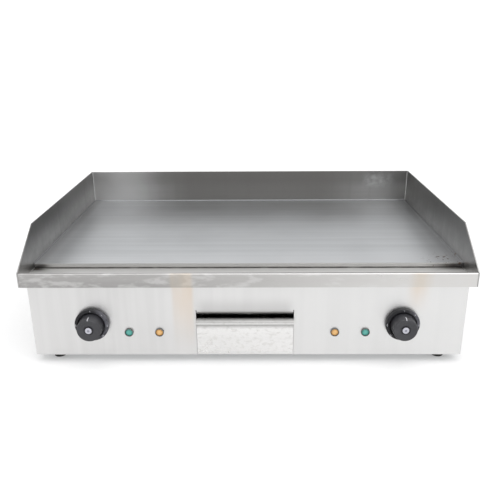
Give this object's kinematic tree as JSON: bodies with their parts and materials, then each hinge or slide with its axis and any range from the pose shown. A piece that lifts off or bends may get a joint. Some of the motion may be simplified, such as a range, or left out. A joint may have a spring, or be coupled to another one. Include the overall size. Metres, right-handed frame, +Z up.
{
  "type": "flat top griddle",
  "caption": "Countertop electric griddle with a flat steel plate, splash guards on three sides, front gutter, sliding grease drawer and thermostat knobs.",
  "frame": {"origin": "on the worktop under the centre of the whole appliance's box", "axes": "+X to the right as the cook sees it, +Y to the rear, +Z up"},
  "size_m": [0.73, 0.5098, 0.2248],
  "materials": {
    "plate_steel": "ground cooking surface, faint grind marks",
    "guard_steel": "brushed sheet, slightly smoked on the inner faces",
    "rim_steel": "brushed sheet, folded edge",
    "body_steel": "light brushed sheet",
    "drawer_steel": "light brushed sheet",
    "galvanised_steel": "zinc coated sheet",
    "knob_plastic": "semi-gloss moulded",
    "bezel_plastic": "semi-gloss moulded, pale printed marks",
    "cap_plastic": "plain pale disc",
    "zinc_steel": "zinc plated",
    "terminal_plastic": "heat resistant moulding",
    "copper": "drawn copper",
    "lens_green": "translucent lens",
    "lens_amber": "translucent lens",
    "lamp_plastic": "moulded",
    "element_sheath": "heat darkened",
    "wire_sleeve": "woven sleeve",
    "foot_rubber": "matte",
    "mineral_wool": "fibrous",
    "gland_nylon": "moulded",
    "brass": "machined"
  },
  "bodies": {
    "chassis": {"base_plate": "galvanised_steel", "cable_gland": "gland_nylon", "clamp_bar_front": "galvanised_steel", "clamp_bar_rear": "galvanised_steel", "clamp_stud_left_front": "zinc_steel", "clamp_stud_left_rear": "zinc_steel", "clamp_stud_right_front": "zinc_steel", "clamp_stud_right_rear": "zinc_steel", "dial_bezel_left": "bezel_plastic", "dial_bezel_right": "bezel_plastic", "drain_spout": "rim_steel", "drawer_rail_left": "galvanised_steel", "drawer_rail_right": "galvanised_steel", "earth_nut": "brass", "earth_stud": "zinc_steel", "foot_left_front": "foot_rubber", "foot_left_rear": "foot_rubber", "foot_right_front": "foot_rubber", "foot_right_rear": "foot_rubber", "foot_screw_left_front": "zinc_steel", "foot_screw_left_rear": "zinc_steel", "foot_screw_right_front": "zinc_steel", "foot_screw_right_rear": "zinc_steel", "front_gutter": "rim_steel", "front_panel": "body_steel", "gland_nut": "gland_nylon", "griddle_plate": "plate_steel", "heat_shield": "galvanised_steel", "heating_element_left": "element_sheath", "heating_element_right": "element_sheath", "insulation_blanket": "mineral_wool", "lamp_housing_amber_left": "lamp_plastic", "lamp_housing_amber_right": "lamp_plastic", "lamp_housing_green_left": "lamp_plastic", "lamp_housing_green_right": "lamp_plastic", "lamp_lens_amber_left": "lens_amber", "lamp_lens_amber_right": "lens_amber", "lamp_lens_green_left": "lens_green", "lamp_lens_green_right": "lens_green", "rear_panel": "body_steel", "sensor_bulb_left": "copper", "sensor_bulb_right": "copper", "side_panel_left": "body_steel", "side_panel_right": "body_steel", "splash_guard_left": "guard_steel", "splash_guard_rear": "guard_steel", "splash_guard_right": "guard_steel", "terminal_block": "terminal_plastic", "thermostat_left": "terminal_plastic", "thermostat_right": "terminal_plastic", "wire_loom_left": "wire_sleeve", "wire_loom_right": "wire_sleeve"},
    "grease_drawer": {"drawer_front": "drawer_steel", "drawer_tray": "drawer_steel"},
    "knob_left": {"control_knob_left": "knob_plastic", "knob_cap_left": "cap_plastic", "thermostat_shaft_left": "zinc_steel"},
    "knob_right": {"control_knob_right": "knob_plastic", "knob_cap_right": "cap_plastic", "thermostat_shaft_right": "zinc_steel"}
  },
  "joints": [
    {"name": "drawer_slide", "type": "slide", "parent": "chassis", "child": "grease_drawer", "axis": [0, -1, 0], "range_m": [0, 0.22]},
    {"name": "knob_left_turn", "type": "hinge", "parent": "chassis", "child": "knob_left", "pos_m": [-0.2552, -0.22685, 0.0736], "axis": [0, 1, 0], "range_deg": [0, 270]},
    {"name": "knob_right_turn", "type": "hinge", "parent": "chassis", "child": "knob_right", "pos_m": [0.2528, -0.22685, 0.0736], "axis": [0, 1, 0], "range_deg": [0, 270]}
  ]
}
